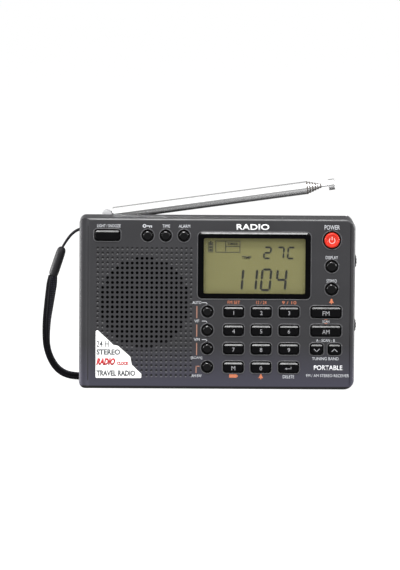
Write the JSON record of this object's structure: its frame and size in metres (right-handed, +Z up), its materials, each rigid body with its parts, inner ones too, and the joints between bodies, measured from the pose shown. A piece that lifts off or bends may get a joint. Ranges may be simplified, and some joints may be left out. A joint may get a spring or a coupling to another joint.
{
  "type": "tabletop radio",
  "caption": "Portable tabletop radio: grey case, round speaker grille, liquid crystal display, keypad, side thumb wheels, telescopic antenna, fold-out stand and wrist strap.",
  "frame": {"origin": "on the bottom face, at the middle of the case's width and depth", "axes": "+X to the right of the front panel, -Y out of the front panel, +Z up"},
  "size_m": [0.1548, 0.0385, 0.1022],
  "materials": {
    "cabinet_grey": "fine matt texture",
    "rear_grey": "fine matt texture",
    "key_black": "semi-gloss",
    "round_key_black": "satin",
    "power_red": "semi-gloss",
    "bezel_black": "high gloss",
    "window_clear": "clear",
    "lcd_olive": "satin",
    "board_green": "solder mask",
    "switch_black": "matt",
    "speaker_steel": "plated",
    "cone_paper": "paper pulp",
    "magnet_black": "ground",
    "ferrite": "sintered",
    "encoder_metal": "stamped",
    "wheel_black": "ribbed satin",
    "cell_wrap": "printed film",
    "contact_nickel": "nickel",
    "jack_black": "gloss",
    "socket_steel": "plated",
    "antenna_chrome": "polished",
    "screw_steel": "black zinc",
    "string_black": "braided",
    "sleeve_black": "satin",
    "band_black": "woven",
    "label_white": "coated paper"
  },
  "bodies": {
    "cabinet": {"front_cabinet": "cabinet_grey", "rear_cabinet": "rear_grey", "case_screws": "screw_steel", "display_bezel": "bezel_black", "display_window": "window_clear", "lcd_panel": "lcd_olive", "main_board": "board_green", "key_switches": "switch_black", "speaker_frame": "speaker_steel", "speaker_cone": "cone_paper", "speaker_magnet": "magnet_black", "ferrite_rod": "ferrite", "wheel_encoders": "encoder_metal", "battery_cells": "cell_wrap", "battery_contacts": "contact_nickel", "headphone_jack": "jack_black", "usb_socket": "socket_steel", "strap_string": "string_black", "strap_sleeve": "sleeve_black", "strap_band": "band_black", "front_label": "label_white"},
    "key_1_body": {"key_1": "key_black"},
    "key_2_body": {"key_2": "key_black"},
    "key_3_body": {"key_3": "key_black"},
    "key_4_body": {"key_4": "key_black"},
    "key_5_body": {"key_5": "key_black"},
    "key_6_body": {"key_6": "key_black"},
    "key_7_body": {"key_7": "key_black"},
    "key_8_body": {"key_8": "key_black"},
    "key_9_body": {"key_9": "key_black"},
    "key_memory_body": {"key_memory": "key_black"},
    "key_0_body": {"key_0": "key_black"},
    "key_enter_body": {"key_enter": "key_black"},
    "button_fm_body": {"button_fm": "key_black"},
    "button_am_body": {"button_am": "key_black"},
    "button_down_body": {"button_down": "key_black"},
    "button_up_body": {"button_up": "key_black"},
    "button_light_snooze_body": {"button_light_snooze": "key_black"},
    "button_lock_body": {"button_lock": "round_key_black"},
    "button_time_body": {"button_time": "round_key_black"},
    "button_alarm_body": {"button_alarm": "round_key_black"},
    "button_power_body": {"button_power": "power_red"},
    "button_display_body": {"button_display": "round_key_black"},
    "button_stereo_body": {"button_stereo": "round_key_black"},
    "button_auto_store_body": {"button_auto_store": "round_key_black"},
    "button_view_frequency_body": {"button_view_frequency": "round_key_black"},
    "button_view_memory_body": {"button_view_memory": "round_key_black"},
    "button_bandwidth_body": {"button_bandwidth": "round_key_black"},
    "antenna_swivel": {"antenna_base": "antenna_chrome"},
    "antenna_tube": {"antenna_outer_tube": "antenna_chrome"},
    "antenna_slide_1": {"antenna_section_1": "antenna_chrome"},
    "antenna_slide_2": {"antenna_section_2": "antenna_chrome"},
    "antenna_slide_3": {"antenna_section_3": "antenna_chrome"},
    "antenna_slide_4": {"antenna_section_4": "antenna_chrome"},
    "antenna_slide_5": {"antenna_section_5": "antenna_chrome"},
    "antenna_slide_6": {"antenna_tip_rod": "antenna_chrome"},
    "door": {"battery_door": "rear_grey"},
    "stand": {"rear_stand": "rear_grey"},
    "tuning_dial": {"tuning_wheel": "wheel_black"},
    "volume_dial": {"volume_wheel": "wheel_black"}
  },
  "joints": [
    {"name": "key_1_press", "type": "slide", "parent": "cabinet", "child": "key_1_body", "axis": [0, 1, 0], "range_m": [0, 0.0005], "stiffness_N_per_m": 900, "springref_m": -0.0003},
    {"name": "key_2_press", "type": "slide", "parent": "cabinet", "child": "key_2_body", "axis": [0, 1, 0], "range_m": [0, 0.0005], "stiffness_N_per_m": 900, "springref_m": -0.0003},
    {"name": "key_3_press", "type": "slide", "parent": "cabinet", "child": "key_3_body", "axis": [0, 1, 0], "range_m": [0, 0.0005], "stiffness_N_per_m": 900, "springref_m": -0.0003},
    {"name": "key_4_press", "type": "slide", "parent": "cabinet", "child": "key_4_body", "axis": [0, 1, 0], "range_m": [0, 0.0005], "stiffness_N_per_m": 900, "springref_m": -0.0003},
    {"name": "key_5_press", "type": "slide", "parent": "cabinet", "child": "key_5_body", "axis": [0, 1, 0], "range_m": [0, 0.0005], "stiffness_N_per_m": 900, "springref_m": -0.0003},
    {"name": "key_6_press", "type": "slide", "parent": "cabinet", "child": "key_6_body", "axis": [0, 1, 0], "range_m": [0, 0.0005], "stiffness_N_per_m": 900, "springref_m": -0.0003},
    {"name": "key_7_press", "type": "slide", "parent": "cabinet", "child": "key_7_body", "axis": [0, 1, 0], "range_m": [0, 0.0005], "stiffness_N_per_m": 900, "springref_m": -0.0003},
    {"name": "key_8_press", "type": "slide", "parent": "cabinet", "child": "key_8_body", "axis": [0, 1, 0], "range_m": [0, 0.0005], "stiffness_N_per_m": 900, "springref_m": -0.0003},
    {"name": "key_9_press", "type": "slide", "parent": "cabinet", "child": "key_9_body", "axis": [0, 1, 0], "range_m": [0, 0.0005], "stiffness_N_per_m": 900, "springref_m": -0.0003},
    {"name": "key_memory_press", "type": "slide", "parent": "cabinet", "child": "key_memory_body", "axis": [0, 1, 0], "range_m": [0, 0.0005], "stiffness_N_per_m": 900, "springref_m": -0.0003},
    {"name": "key_0_press", "type": "slide", "parent": "cabinet", "child": "key_0_body", "axis": [0, 1, 0], "range_m": [0, 0.0005], "stiffness_N_per_m": 900, "springref_m": -0.0003},
    {"name": "key_enter_press", "type": "slide", "parent": "cabinet", "child": "key_enter_body", "axis": [0, 1, 0], "range_m": [0, 0.0005], "stiffness_N_per_m": 900, "springref_m": -0.0003},
    {"name": "button_fm_press", "type": "slide", "parent": "cabinet", "child": "button_fm_body", "axis": [0, 1, 0], "range_m": [0, 0.0005], "stiffness_N_per_m": 900, "springref_m": -0.0003},
    {"name": "button_am_press", "type": "slide", "parent": "cabinet", "child": "button_am_body", "axis": [0, 1, 0], "range_m": [0, 0.0005], "stiffness_N_per_m": 900, "springref_m": -0.0003},
    {"name": "button_down_press", "type": "slide", "parent": "cabinet", "child": "button_down_body", "axis": [0, 1, 0], "range_m": [0, 0.0005], "stiffness_N_per_m": 900, "springref_m": -0.0003},
    {"name": "button_up_press", "type": "slide", "parent": "cabinet", "child": "button_up_body", "axis": [0, 1, 0], "range_m": [0, 0.0005], "stiffness_N_per_m": 900, "springref_m": -0.0003},
    {"name": "button_light_snooze_press", "type": "slide", "parent": "cabinet", "child": "button_light_snooze_body", "axis": [0, 1, 0], "range_m": [0, 0.0005], "stiffness_N_per_m": 900, "springref_m": -0.0003},
    {"name": "button_lock_press", "type": "slide", "parent": "cabinet", "child": "button_lock_body", "axis": [0, 1, 0], "range_m": [0, 0.0005], "stiffness_N_per_m": 900, "springref_m": -0.0003},
    {"name": "button_time_press", "type": "slide", "parent": "cabinet", "child": "button_time_body", "axis": [0, 1, 0], "range_m": [0, 0.0005], "stiffness_N_per_m": 900, "springref_m": -0.0003},
    {"name": "button_alarm_press", "type": "slide", "parent": "cabinet", "child": "button_alarm_body", "axis": [0, 1, 0], "range_m": [0, 0.0005], "stiffness_N_per_m": 900, "springref_m": -0.0003},
    {"name": "button_power_press", "type": "slide", "parent": "cabinet", "child": "button_power_body", "axis": [0, 1, 0], "range_m": [0, 0.0005], "stiffness_N_per_m": 900, "springref_m": -0.0003},
    {"name": "button_display_press", "type": "slide", "parent": "cabinet", "child": "button_display_body", "axis": [0, 1, 0], "range_m": [0, 0.0005], "stiffness_N_per_m": 900, "springref_m": -0.0003},
    {"name": "button_stereo_press", "type": "slide", "parent": "cabinet", "child": "button_stereo_body", "axis": [0, 1, 0], "range_m": [0, 0.0005], "stiffness_N_per_m": 900, "springref_m": -0.0003},
    {"name": "button_auto_store_press", "type": "slide", "parent": "cabinet", "child": "button_auto_store_body", "axis": [0, 1, 0], "range_m": [0, 0.0005], "stiffness_N_per_m": 900, "springref_m": -0.0003},
    {"name": "button_view_frequency_press", "type": "slide", "parent": "cabinet", "child": "button_view_frequency_body", "axis": [0, 1, 0], "range_m": [0, 0.0005], "stiffness_N_per_m": 900, "springref_m": -0.0003},
    {"name": "button_view_memory_press", "type": "slide", "parent": "cabinet", "child": "button_view_memory_body", "axis": [0, 1, 0], "range_m": [0, 0.0005], "stiffness_N_per_m": 900, "springref_m": -0.0003},
    {"name": "button_bandwidth_press", "type": "slide", "parent": "cabinet", "child": "button_bandwidth_body", "axis": [0, 1, 0], "range_m": [0, 0.0005], "stiffness_N_per_m": 900, "springref_m": -0.0003},
    {"name": "antenna_turn", "type": "hinge", "parent": "cabinet", "child": "antenna_swivel", "pos_m": [-0.0543, 0.009, 0.0838], "axis": [0, 0, 1], "range_deg": [0, 120]},
    {"name": "antenna_tilt", "type": "hinge", "parent": "antenna_swivel", "child": "antenna_tube", "pos_m": [-0.0543, 0.009, 0.0838], "axis": [0, -1, 0], "range_deg": [-8, 82]},
    {"name": "antenna_pull_1", "type": "slide", "parent": "antenna_tube", "child": "antenna_slide_1", "axis": [0.9903, 0, 0.1392], "range_m": [0, 0.072]},
    {"name": "antenna_pull_2", "type": "slide", "parent": "antenna_slide_1", "child": "antenna_slide_2", "axis": [0.9903, 0, 0.1392], "range_m": [0, 0.072]},
    {"name": "antenna_pull_3", "type": "slide", "parent": "antenna_slide_2", "child": "antenna_slide_3", "axis": [0.9903, 0, 0.1392], "range_m": [0, 0.072]},
    {"name": "antenna_pull_4", "type": "slide", "parent": "antenna_slide_3", "child": "antenna_slide_4", "axis": [0.9903, 0, 0.1392], "range_m": [0, 0.072]},
    {"name": "antenna_pull_5", "type": "slide", "parent": "antenna_slide_4", "child": "antenna_slide_5", "axis": [0.9903, 0, 0.1392], "range_m": [0, 0.072]},
    {"name": "antenna_pull_6", "type": "slide", "parent": "antenna_slide_5", "child": "antenna_slide_6", "axis": [0.9903, 0, 0.1392], "range_m": [0, 0.072]},
    {"name": "door_open", "type": "hinge", "parent": "cabinet", "child": "door", "pos_m": [0.02075, 0.0121, 0.00355], "axis": [-1, 0, 0], "range_deg": [0, 80]},
    {"name": "stand_open", "type": "hinge", "parent": "cabinet", "child": "stand", "pos_m": [-0.038, 0.0121, 0.045], "axis": [1, 0, 0], "range_deg": [0, 50]},
    {"name": "tuning_turn", "type": "hinge", "parent": "cabinet", "child": "tuning_dial", "pos_m": [0.05985, 0.002, 0.0622], "axis": [0, 1, 0], "continuous": true},
    {"name": "volume_turn", "type": "hinge", "parent": "cabinet", "child": "volume_dial", "pos_m": [0.05985, 0.002, 0.0305], "axis": [0, 1, 0], "continuous": true}
  ]
}
